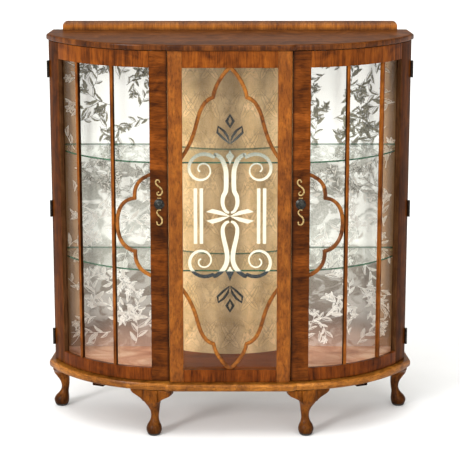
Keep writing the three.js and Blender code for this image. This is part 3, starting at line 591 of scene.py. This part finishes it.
class Flat:
    """Flat shapes drawn in a plane of u and v, then laid on a surface as one thin piece. Each is
    a little prouder than the last, so that shapes that cross don't share a plane."""

    def __init__(self):
        self.vertices = []
        self.lifts = []
        self.faces = []
        self.materials = []
        self.shapes = 0

    def raise_new(self):
        """Gives the vertices of the shape just drawn their height."""
        self.shapes += 1
        lift = self.shapes % LAYERS * LAYER_STEP
        self.lifts += [lift] * (len(self.vertices) - len(self.lifts))

    def face(self, points, material=0):
        start = len(self.vertices)
        self.vertices.extend(Vector(p) for p in points)
        self.raise_new()
        self.faces.append(list(range(start, start + len(points))))
        self.materials.append(material)

    def ribbon(self, path, width, material=0, closed=False):
        """A band along a path. width is a number, or a function of the share run."""
        count = len(path)
        edges = []
        for i, point in enumerate(path):
            before = path[i - 1] if i or closed else path[0]
            after = path[(i + 1) % count] if i < count - 1 or closed else path[-1]
            along = (after - before).normalized()
            half = (width(i / max(1, count - 1)) if callable(width) else width) / 2
            side = Vector((-along.y, along.x)) * half
            edges.append((point + side, point - side))
        start = len(self.vertices)
        for left, right in edges:
            self.vertices += [left, right]
        self.raise_new()
        for i in range(count if closed else count - 1):
            a = start + 2 * i
            b = start + 2 * ((i + 1) % count)
            self.faces.append([a, a + 1, b + 1, b])
            self.materials.append(material)

    def mirrored(self):
        """Adds the mirror image in u = 0."""
        start = len(self.vertices)
        self.vertices += [Vector((-v.x, v.y)) for v in self.vertices]
        self.lifts += [lift + LAYER_STEP / 2 for lift in self.lifts]
        copies = [[start + i for i in reversed(face)] for face in self.faces]
        self.faces += copies
        self.materials += list(self.materials)

    def mesh(self, name, lay, thickness):
        """lay(u, v, lift) gives the place on the surface, lift metres proud of it."""
        raised = list(zip(self.vertices, self.lifts))
        under = [lay(v.x, v.y, lift) for v, lift in raised]
        over = [lay(v.x, v.y, lift + thickness) for v, lift in raised]
        count = len(under)
        faces, materials = [], []
        rims = {}
        for face, material in zip(self.faces, self.materials):
            faces += [[count + i for i in face], list(reversed(face))]
            materials += [material] * 2
            for a, b in zip(face, face[1:] + face[:1]):
                key = (min(a, b), max(a, b))
                rims[key] = None if key in rims else (a, b, material)
        for rim in rims.values():
            if rim:
                a, b, material = rim
                faces.append([a, b, count + b, count + a])
                materials.append(material)
        return tidy_faces(mesh_from(name, under + over, faces, False, materials))


# ---
# CAD nodes refined or repainted

TIMBER = {
    "top_board": "top", "top_gallery": "gallery", "plinth": "plinth",
    "centre_top_rail": "rail", "centre_bottom_rail": "low_rail",
    "centre_top_astragal": "bead", "centre_bottom_astragal": "bead",
}
SIDE_TIMBER = {
    "pilaster": "pilaster", "side_panel": "hinge_stile", "door_top_rail": "rail",
    "door_bottom_rail": "low_rail", "door_lock_stile": "lock_stile",
    "door_hinge_stile": "hinge_stile", "door_inner_bar": "bar", "door_outer_bar": "bar",
    "door_ear_moulding": "bead", "front_inner_knee_bracket": "leg",
    "front_outer_knee_bracket": "leg", "rear_knee_bracket": "leg",
}
for side in SIDES:
    TIMBER.update({f"{side}_{part}": kind for part, kind in SIDE_TIMBER.items()})
for node, kind in TIMBER.items():
    slender = "astragal" in node or "bar" in node
    refine(node, finish[kind], FINE_EDGE if slender else EASED_EDGE)

for side, sign in SIDES.items():
    for node in (f"{side}_side_panel", f"{side}_door_hinge_stile"):
        reface(node, finish["inside"], lambda n: n.x * sign < -0.3 and abs(n.z) < 0.5)
    refine(f"{side}_door_glass", finish["glass"], 0)
    repaint(f"{side}_mirror", finish["mirror"])
    for level in ("lower", "middle", "upper"):
        for leaf in ("fixed_leaf", "door_leaf"):
            refine(f"{side}_{level}_hinge_{leaf}", finish["black_steel"], HINGE_EDGE)
# The bar sides that face the centre take the painted shade: both bars of the left door and the inner
# bar of the right door.
for bar in ("inner_bar", "outer_bar"):
    reface(f"left_door_{bar}", finish["bar_side"], lambda n: n.x > 0.55)
reface("right_door_inner_bar", finish["bar_side"], lambda n: n.x < -0.55)
reface("top_board", finish["top_edge"], lambda n: abs(n.z) < 0.9)
for level in ("lower", "upper"):
    refine(f"{level}_shelf", finish["shelf"], SHELF_EDGE)
repaint("centre_glass", finish["glass"])
repaint("floor_panel", finish["floor"])
repaint("back_panel", finish["ply"])
refine("centre_back_panel", finish["damask"], 0)

# ---
# Legs: turned pad foot and ankle, squared knee

# Height, half width, how square the section is, how far it sweeps out, in millimetres, and its
# share of the leg's own toe.
LEG_STATIONS = ((0, 14, 0, -5, 1), (3, 18, 0, -5, 1), (11, 21.6, 0, -5, 1), (20, 23, 0, -5, 1),
                (31, 20.3, 0, -5.5, 0.75), (40, 15.6, 0, -6.5, 0.4), (50, 12.3, 0, -8, 0.15),
                (60, 11.7, 0, -9, 0), (72, 13, 0.1, -9, 0), (84, 15.4, 0.3, -7, 0),
                (97, 18.8, 0.6, -3, 0), (109, 22.4, 0.85, 0, 0), (122, 23, 1, 0, 0),
                (145.7, 23, 1, 0, 0))
# Place in plan, turn of the knee, direction of the sweep and length of the toe.
LEG_PLACES = {"front": (228.5, -130, 20, 45, 0), "rear": (519, 143, 95, 90, 8)}
PAD_HEIGHT = 8
PAD_JOINT = PAD_HEIGHT - 0.01
LEG_HEIGHT = 146
KNEE_HALF_WIDTH = 23.0
LEG_STEPS = 6
CORNER_LIMIT = 1.3      # how far a squared corner may stand out, as a share of the half width


def leg_rows(low, high):
    """Finely stepped stations, each eased into the next, between two heights."""
    rows = []
    for i in range(len(LEG_STATIONS) - 1):
        around = [LEG_STATIONS[min(max(i + k, 0), len(LEG_STATIONS) - 1)] for k in (-1, 0, 1, 2)]
        for step in range(LEG_STEPS):
            t = step / LEG_STEPS
            rows.append([0.5 * (2 * b + (c - a) * t + (2 * a - 5 * b + 4 * c - d) * t * t
                                + (3 * b - a - 3 * c + d) * t ** 3)
                         for a, b, c, d in zip(*around)])
    rows.append(list(LEG_STATIONS[-1]))
    for row in rows:
        row[1] = min(row[1], KNEE_HALF_WIDTH)
    return [row for row in rows if low <= row[0] <= high]


def leg_mesh(name, rows, place, side):
    x, y, yaw, sweep, toe = place
    turn = math.radians(yaw)
    outward = math.radians(sweep - yaw)
    vertices = []
    for height, width, square, reach, toe_share in rows:
        reach += toe_share * toe
        for k in range(AROUND):
            angle = 2 * math.pi * k / AROUND
            c, s = math.cos(angle), math.sin(angle)
            flat = min(1 / max(abs(c), abs(s)), CORNER_LIMIT)
            swell = width * (1 + min(max(square, 0), 1) * (flat - 1))
            u = c * swell + reach * math.sin(outward)
            v = s * swell - reach * math.cos(outward)
            vertices.append((side * (x + u * math.cos(turn) - v * math.sin(turn)) * MM,
                             (y + u * math.sin(turn) + v * math.cos(turn)) * MM, height * MM))
    faces = [face[::side] for face in ring_faces(len(rows))]
    faces.append([*range(AROUND)][::-side])
    faces.append([len(vertices) - AROUND + k for k in range(AROUND)][::side])
    mesh = mesh_from(name, vertices, faces)
    mesh.set_sharp_from_angle(angle=math.radians(50))
    return mesh


for side, sign in SIDES.items():
    for end, place in LEG_PLACES.items():
        node = f"{side}_{end}_leg"
        wooden = leg_mesh(node, leg_rows(PAD_JOINT, LEG_HEIGHT), place, sign)
        leg = new_piece(f"{node}_turned", wooden, "carcass", slot_of[node], finish["leg"])
        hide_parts(node)
        glide = leg_mesh(node, leg_rows(0, PAD_JOINT), place, sign)
        new_piece(f"{node}_pad", glide, "carcass", "glide_rubber", finish["pad"])

# ---
# Knobs and their scroll plates

KNOB_TURN = 3.8
KNOB_HEIGHT = 0.705


def door_face(side, u, v, lift):
    """A place on the plane that touches the bow at the knob: u outwards, v up."""
    seat = on_bow(KNOB_TURN, side)
    turn = math.radians(KNOB_TURN)
    outward = Vector((side * math.cos(turn), math.sin(turn)))
    proud = Vector((side * math.sin(turn), -math.cos(turn)))
    at = seat + outward * u + proud * lift
    return Vector((at.x, at.y, KNOB_HEIGHT + v))


KNOB_PROFILE = ((0, -27), (3, -27), (3, 0.9), (14.4, 0.9), (14.9, 1.4), (14.9, 2.2), (13.6, 2.9),
                (12.6, 2.4), (11.4, 3.5), (6.2, 4.2), (5, 6), (5.2, 7.8), (8.2, 9), (10.4, 11),
                (10.6, 12.6), (9.9, 13.9), (8.6, 14.2), (8.0, 12.6), (7.0, 12.6), (6.4, 14.7),
                (5.4, 15.0), (4.7, 13.4), (3.6, 13.4), (2.9, 15.7), (1.4, 16.4), (0, 16.5))


# The latch: half width, then its ends and its two faces, in millimetres from the knob.
LATCH_HALF_WIDTH = 6
LATCH_ENDS = (-36, 6)
LATCH_FACES = (-27, -24)


def knob_mesh(name, side):
    vertices = []
    for radius, lift in KNOB_PROFILE:
        for k in range(AROUND):
            angle = 2 * math.pi * k / AROUND
            vertices.append(door_face(side, radius * MM * math.cos(angle),
                                      radius * MM * math.sin(angle), lift * MM))
    faces = ring_faces(len(KNOB_PROFILE))
    foot, head = LATCH_ENDS
    half = LATCH_HALF_WIDTH
    latch = [(u, v, lift) for lift in LATCH_FACES
             for u, v in ((-half, foot), (half, foot), (half, head), (-half, head))]
    start = len(vertices)
    vertices += [door_face(side, u * MM, v * MM, lift * MM) for u, v, lift in latch]
    for face in ((0, 1, 2, 3), (4, 7, 6, 5), (0, 4, 5, 1), (1, 5, 6, 2), (2, 6, 7, 3), (3, 7, 4, 0)):
        faces.append([start + i for i in face])
    mesh = tidy_faces(mesh_from(name, vertices, faces), weld=True)
    mesh.set_sharp_from_angle(angle=math.radians(40))
    return mesh


UPPER_SCROLL = ((1, 66), (-1, 71), (-7, 71), (-10, 64), (-6, 56), (2, 50), (8, 42), (8, 33),
                (3, 27), (-4, 27), (-6, 33), (-2, 36))
LOWER_SCROLL = ((3, -17), (-3, -17), (-7, -24), (-3, -32), (4, -38), (8, -46), (7, -55),
                (1, -61), (-6, -59), (-7, -53))


PLATE_THICKNESS = 1.3 * MM
PLATE_GAP = 0.25 * MM
BEAD_RADIUS = 2.1 * MM
BEAD_SIDES = 10


def scroll_mesh(name, side):
    """Flat pierced scrolls above and below the knob, with a small collar bar and end beads."""
    plate = Flat()
    for line in (UPPER_SCROLL, LOWER_SCROLL):
        path = smooth_path([Vector(p) * MM for p in line], 6)
        plate.ribbon(path, lambda run: (2.4 + 2.2 * math.sin(math.pi * run)) * MM)
        for end in (path[0], path[-1]):
            plate.face([end + pointing(2 * math.pi * k / BEAD_SIDES) * BEAD_RADIUS
                        for k in range(BEAD_SIDES)])
    plate.face([Vector(p) * MM for p in ((-6, 16.5), (6, 16.5), (6, 19), (-6, 19))])
    return plate.mesh(name, lambda u, v, lift: door_face(side, side * u, v, PLATE_GAP + lift),
                      PLATE_THICKNESS)


for side, sign in SIDES.items():
    knob = new_piece(f"{side}_door_knob_turned", knob_mesh("knob", sign), f"{side}_knob",
                     "knob_metal", finish["bronze"])
    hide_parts(f"{side}_door_knob")
    plate = new_piece(f"{side}_door_scroll_plates", scroll_mesh("scrolls", sign), f"{side}_door",
                      "antique_brass", finish["brass"])
    soften(plate, 0.35 * MM)

# ---
# Enamelled scrollwork on the back of the centre glass, in millimetres from its waist

ART_MIDDLE = 0.658
SCROLL_OUTER, SCROLL_EYE = 50, 8
SCROLL_STEPS = 34
ART_GAP = 0.15 * MM
ART_THICKNESS = 0.25 * MM
UPPER_LIMB = ((-3, 20), (-13, 26), (-21, 45), (-20, 67), (-12, 86), (-11, 125), (-13, 150),
              (-24, 178), (-42, 192))
LOWER_LIMB = ((-3, -6), (-13, -11), (-21, -27), (-19, -52), (-11, -88), (-8, -113),
              (-12, -135), (-25, -155), (-44, -170))
PETAL = ((-2, 0), (-20, 15), (-36, 31), (-34, 48), (-18, 36), (-7, 20))
PETAL_LINE = 7.2
DIAMOND_LINE = 9.0


def spiral(middle, start, turns):
    """A scroll that winds in. The start is in degrees, and turns are negative for clockwise."""
    path = []
    for i in range(SCROLL_STEPS + 1):
        share = i / SCROLL_STEPS
        angle = math.radians(start + 360 * turns * share)
        radius = SCROLL_OUTER + (SCROLL_EYE - SCROLL_OUTER) * share ** 0.85
        path.append(Vector((middle[0] + radius * math.cos(angle),
                            middle[1] + radius * math.sin(angle))))
    return path


def scroll_width(run):
    """Broad over the shoulder of the scroll and fine at both ends."""
    return (4.5 + 9.0 * math.sin(math.pi * min(1, run * 1.2 + 0.02)) ** 0.7) * MM


def scrollwork():
    art = Flat()

    def outline(points, width):
        art.ribbon([Vector(p) * MM for p in points], width * MM, closed=True)

    # Lyres, upper and lower: a limb from the waist out and over, then its scroll
    for limb, scroll in ((UPPER_LIMB, spiral((-80, 147), 48, 1.5)),
                         (LOWER_LIMB, spiral((-79, -124), -54, -1.5))):
        art.ribbon([p * MM for p in smooth_path(limb, 7) + scroll], scroll_width)
    # Leaves of the waist
    for lean in (1, -1):
        art.face([Vector(p) * MM for p in (
            (0, 10), (-20, 10 + 2 * lean), (-69, 9.5 + 13 * lean), (-51, 9.5 + 22 * lean),
            (-26, 10 + 15 * lean))][::lean])
    # Upright bars
    for near, far in ((-104.5, -94.5), (-87.5, -77.5)):
        art.face([Vector(p) * MM for p in ((near, -72), (far, -72), (far, 92), (near, 92))])
    # Tulip petals and open diamonds, above and below
    for flip, tip in ((1, 224), (-1, -200)):
        outline([(u, tip + flip * v) for u, v in PETAL], PETAL_LINE)
        middle = tip + flip * (64 if flip > 0 else 58)
        outline([(0, middle - 17), (9.5, middle), (0, middle + 17), (-9.5, middle)],
                DIAMOND_LINE)
    art.mirrored()
    # Drops on the centre line
    for tip, belly, foot in ((205, 187, 161), (-138, -157, -185)):
        art.face([Vector(p) * MM for p in ((0, tip), (-4, (tip + belly) / 2), (-12, belly),
                                           (-5, (belly + foot) / 2), (0, foot),
                                           (5, (belly + foot) / 2), (12, belly),
                                           (4, (tip + belly) / 2))])

    def lay(u, v, lift):
        return Vector((u, GLASS_BACK + ART_GAP + lift, ART_MIDDLE + v))
    return art.mesh("scrollwork", lay, ART_THICKNESS)


new_piece("centre_glass_scrollwork", scrollwork(), "carcass", "painted_decoration",
          finish["enamel"])

# ---
# Leaves, sprays and flowers, shared by the etched mirrors and the damask


FILL, LINE = 0, 1       # the materials of a shape's inside and of its drawn lines


def leaf(art, foot, direction, length, width, bend, line_width, half=False, filled=True):
    """A pointed leaf with a wavy edge and a midrib. Its fill covers it, half of it or nothing."""
    along = pointing(direction)
    side = Vector((-along.y, along.x))
    steps = 7
    left, right, rib = [], [], []
    for i in range(steps + 1):
        t = i / steps
        spine = foot + along * length * t + side * bend * math.sin(math.pi * t * 0.8)
        reach = width / 2 * math.sin(math.pi * t ** 0.8) ** 0.9
        notch = 1 + (0.16 if i % 2 else -0.1)
        left.append(spine + side * reach * notch)
        right.append(spine - side * reach * notch)
        rib.append(spine)
    ring = left + right[-2:0:-1]
    if filled:
        near = rib if half else right
        for i in range(steps):
            art.face([left[i], near[i], near[i + 1], left[i + 1]], FILL)
    art.ribbon(rib[1:-1], line_width, LINE)
    art.ribbon(ring, line_width, LINE, closed=True)


def flower(art, middle, size, petals, turn, line_width, half=False):
    for k in range(petals):
        angle = turn + 2 * math.pi * k / petals
        leaf(art, middle + pointing(angle) * size * 0.18, angle, size * 0.82, size * 0.5, 0,
             line_width, half)
    ring = [middle + pointing(k * math.pi / 4) * size * 0.16 for k in range(8)]
    art.ribbon(ring, line_width * 1.3, LINE, closed=True)


def spray(art, rng, foot, heading, reach, line_width, inside):
    """A curved stem with alternate leaves, a flower at its end and a tendril."""
    curl = rng.uniform(-1.6, 1.6)
    path = []
    point = Vector(foot)
    steps = 12
    for i in range(steps + 1):
        path.append(point.copy())
        angle = heading + curl * i / steps
        point += pointing(angle) * reach / steps
    path = [p for p in path if inside(p, 3 * MM)]
    if len(path) < 5:
        return
    art.ribbon(path, lambda run: line_width * (1.5 - 0.8 * run), LINE)
    for i in range(1, len(path) - 1, 2):
        angle = heading + curl * i / steps
        hand = 1 if (i // 2) % 2 else -1
        size = rng.uniform(0.28, 0.46) * reach
        direction = angle + hand * rng.uniform(0.4, 0.9)
        tip = path[i] + pointing(direction) * size
        if inside(tip, 4 * MM):
            leaf(art, path[i], direction, size, size * rng.uniform(0.22, 0.32),
                 size * rng.uniform(-0.2, 0.2), line_width, rng.random() < 0.7)
    if inside(path[-1], 0.16 * reach):
        flower(art, path[-1], reach * rng.uniform(0.13, 0.19), rng.choice((5, 6)),
               rng.uniform(0, 1), line_width, True)


SPRAY_COLUMNS, SPRAY_ROWS = 5, 16
SPRAY_LINE = 1.1 * MM
ETCHING_SEED = 40
ETCHING_THICKNESS = 0.05 * MM


def etched_sprays(seed, low, high):
    """Sprays scattered one to a cell over the mirror, each drawn in u outwards and v up."""
    rng = random.Random(seed)
    art = Flat()

    def inside(point, margin):
        return (low.x + margin < point.x < high.x - margin
                and low.y + margin < point.y < high.y - margin)
    width, height = high.x - low.x, high.y - low.y
    for row in range(SPRAY_ROWS):
        for column in range(SPRAY_COLUMNS):
            foot = Vector((low.x + width * (column + rng.uniform(0.1, 0.9)) / SPRAY_COLUMNS,
                           low.y + height * (row + rng.uniform(0.1, 0.9)) / SPRAY_ROWS))
            spray(art, rng, foot, rng.uniform(0, 2 * math.pi), rng.uniform(0.065, 0.100),
                  SPRAY_LINE, inside)
    return art


for side, sign in SIDES.items():
    low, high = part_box(f"{side}_mirror")
    near, far = sorted((abs(low.x), abs(high.x)))
    art = etched_sprays(ETCHING_SEED + sign, Vector((near, low.z)), Vector((far, high.z)))

    def lay(u, v, lift, sign=sign):
        return Vector((sign * u, MIRROR_FRONT - ETCHING_THICKNESS - lift, v))
    new_piece(f"{side}_mirror_etching", art.mesh("etching", lay, ETCHING_THICKNESS), "carcass",
              "silvered_mirror", finish["etched"], finish["etched_line"])

# ---
# Damask figure: an ogee lattice of fronds with rosettes

OGEE_WIDTH = 0.120
OGEE_HEIGHT = 0.236
DAMASK_REACH = 0.200
DAMASK_GAP = 0.12 * MM
DAMASK_THICKNESS = 0.15 * MM


def damask_figure():
    art = Flat()
    low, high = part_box("centre_back_panel")
    bottom, top = low.z + 4 * MM, high.z - 4 * MM

    def inside(point):
        return abs(point.x) < DAMASK_REACH and bottom + 0.01 < point.y < top - 0.01

    def stem(column, hand, periods):
        swing = math.cos(2 * math.pi * periods + math.pi * column)
        return Vector((OGEE_WIDTH * (column / 2 + 0.25 * hand * swing),
                       bottom + OGEE_HEIGHT * periods))
    for column in range(-3, 4):
        for hand in (1, -1):
            for half in range(10):
                foot = stem(column, hand, half / 2 + 0.05)
                tip = stem(column, hand, half / 2 + 0.45)
                run = tip - foot
                if inside(foot) and inside(tip):
                    heading = math.atan2(run.y, run.x)
                    leaf(art, foot, heading, run.length, 0.021, 0.006 * hand, 1.4 * MM)
                    for share in (0.25, 0.5, 0.75):
                        for turn in (0.7, -0.7):
                            leaf(art, foot + run * share, heading + turn, 0.017, 0.005, 0,
                                 0.7 * MM, filled=False)
        for row in range(10):
            middle = Vector((OGEE_WIDTH * column / 2,
                             bottom + OGEE_HEIGHT * (row + 0.5 * (column % 2)) / 2))
            if inside(middle) and row % 2 == 0:
                flower(art, middle, 0.015, 7, 0.3 * column, 0.9 * MM)
    axis = DAMASK_FRONT + DAMASK_RADIUS

    def lay(u, v, lift):
        turn = u / DAMASK_RADIUS
        radius = DAMASK_RADIUS + DAMASK_GAP + lift
        return Vector((radius * math.sin(turn), axis - radius * math.cos(turn), v))
    return art.mesh("damask_figure", lay, DAMASK_THICKNESS)


new_piece("centre_back_damask_figure", damask_figure(), "carcass", "damask_lining",
          finish["damask_figure"], finish["damask_line"])

# ---
# Glue blocks under the plinth and the small brass rests that carry the shelves


def solid_from_outline(name, outline, low, high):
    """A prism from a plan outline between two heights."""
    count = len(outline)
    vertices = [(x, y, z) for z in (low, high) for x, y in outline]
    faces = [[i, (i + 1) % count, (i + 1) % count + count, i + count] for i in range(count)]
    faces += [[*range(count)][::-1], [*range(count, 2 * count)]]
    return tidy_faces(mesh_from(name, vertices, faces))


BLOCK_CORNERS = ((0.377, -0.080), (0.411, -0.066), (0.403, -0.047), (0.369, -0.061))
BLOCK_BOTTOM = PLINTH_BOTTOM - 14 * MM
BLOCK_TOP = PLINTH_BOTTOM - 0.2 * MM

for side, sign in SIDES.items():
    outline = [(sign * x, y) for x, y in BLOCK_CORNERS]
    # The blocks take the near-black walnut as painted shade under the plinth.
    block = new_piece(f"{side}_glue_block",
                      solid_from_outline("block", outline, BLOCK_BOTTOM, BLOCK_TOP),
                      "carcass", "dark_walnut", finish["block"])
    soften(block, 3 * MM)


REST_HEIGHT = 7 * MM
REST_HALF_WIDTH = 4 * MM
REST_REACH = 11 * MM
FRONT_REST_REACH = 18 * MM
REST_GAP = 0.2 * MM
REAR_RESTS = (0.235, 0.492)


def shelf_rests(name, side):
    """Two rests against the mirror and one against the pilaster's back, under each shelf."""
    front = PILASTER_HIGH.y + REST_GAP
    rear = MIRROR_FRONT - 2 * REST_GAP
    middle = (PILASTER_LOW.x + PILASTER_HIGH.x) / 2
    places = [(x, rear - REST_REACH, rear) for x in REAR_RESTS]
    places.append((middle, front, front + FRONT_REST_REACH))
    rests = bmesh.new()
    for shelf in ("lower_shelf", "upper_shelf"):
        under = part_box(shelf)[0].z - REST_GAP
        for x, near, far in places:
            left, right = x - REST_HALF_WIDTH, x + REST_HALF_WIDTH
            corners = ((left, near), (right, near), (right, far), (left, far))
            rests.from_mesh(solid_from_outline("rest", [(side * u, v) for u, v in corners],
                                               under - REST_HEIGHT, under))
    mesh = bpy.data.meshes.new(name)
    rests.to_mesh(mesh)
    rests.free()
    return mesh


for side, sign in SIDES.items():
    rests = new_piece(f"{side}_shelf_rests", shelf_rests("rests", sign), "carcass",
                      "antique_brass", finish["brass"])
    soften(rests, 0.8 * MM)

# ---
# Studio: pale floor, soft light and the camera

FLOOR_HALF_WIDTH = 40
BRIGHT_SIDE = (-0.42, -0.80, 0.43)
WORLD_STRENGTH = 1.35
# Direction that each light comes from, strength, and how wide it looks in degrees.
SUNS = {"left_softbox": ((-0.80, -1.0, 0.50), 1.9, 14),
        "front_fill": ((0.25, -1.0, 0.35), 0.7, 40),
        "top_light": ((-0.1, -0.3, 1.0), 0.9, 30)}
CAMERA_PLACE = (0, -5.4166, 1.9239)
CAMERA_PITCH = 76.2
LENS = 147.47


def studio():
    floor_look = Look("studio_floor")
    dust = floor_look.noise((3, 3, 3), 3.0)
    tone = floor_look.ramp(dust, [(0.3, (0.86, 0.86, 0.85)), (0.7, (0.90, 0.90, 0.895))])
    material = floor_look.finish(floor_look.surface(Base_Color=tone, Roughness=0.9,
                                                    Specular_IOR_Level=0.1))
    size = FLOOR_HALF_WIDTH
    corners = [(-size, -size, 0), (size, -size, 0), (size, size, 0), (-size, size, 0)]
    mesh = mesh_from("floor", corners, [[0, 1, 2, 3]], False)
    mesh.materials.append(material)
    floor = bpy.data.objects.new("studio_floor", mesh)
    scene.collection.objects.link(floor)

    world = bpy.data.worlds.new("studio")
    world.use_nodes = True
    tree = world.node_tree
    where = tree.nodes.new("ShaderNodeTexCoord").outputs["Generated"]
    toward = tree.nodes.new("ShaderNodeVectorMath")
    toward.operation = "DOT_PRODUCT"
    toward.inputs[1].default_value = BRIGHT_SIDE
    tree.links.new(where, toward.inputs[0])
    glow = tree.nodes.new("ShaderNodeValToRGB")
    glow.color_ramp.elements[0].position = 0.0
    glow.color_ramp.elements[0].color = (0.45, 0.45, 0.44, 1)
    glow.color_ramp.elements[1].position = 0.75
    glow.color_ramp.elements[1].color = (1.0, 0.995, 0.98, 1)
    tree.links.new(toward.outputs["Value"], glow.inputs[0])
    tree.links.new(glow.outputs[0], tree.nodes["Background"].inputs["Color"])
    tree.nodes["Background"].inputs["Strength"].default_value = WORLD_STRENGTH
    scene.world = world

    for name, (direction, strength, spread) in SUNS.items():
        lamp = bpy.data.lights.new(name, "SUN")
        lamp.energy = strength
        lamp.angle = math.radians(spread)
        light = bpy.data.objects.new(name, lamp)
        light.rotation_euler = Vector(direction).to_track_quat("Z", "Y").to_euler()
        scene.collection.objects.link(light)


def camera():
    lens = bpy.data.cameras.new("camera")
    lens.sensor_width = 36
    lens.lens = LENS
    lens.clip_end = 100
    view = bpy.data.objects.new("camera", lens)
    view.location = CAMERA_PLACE
    view.rotation_euler = (math.radians(CAMERA_PITCH), 0, 0)
    scene.collection.objects.link(view)
    scene.camera = view


studio()
camera()
scene.view_settings.view_transform = "Standard"
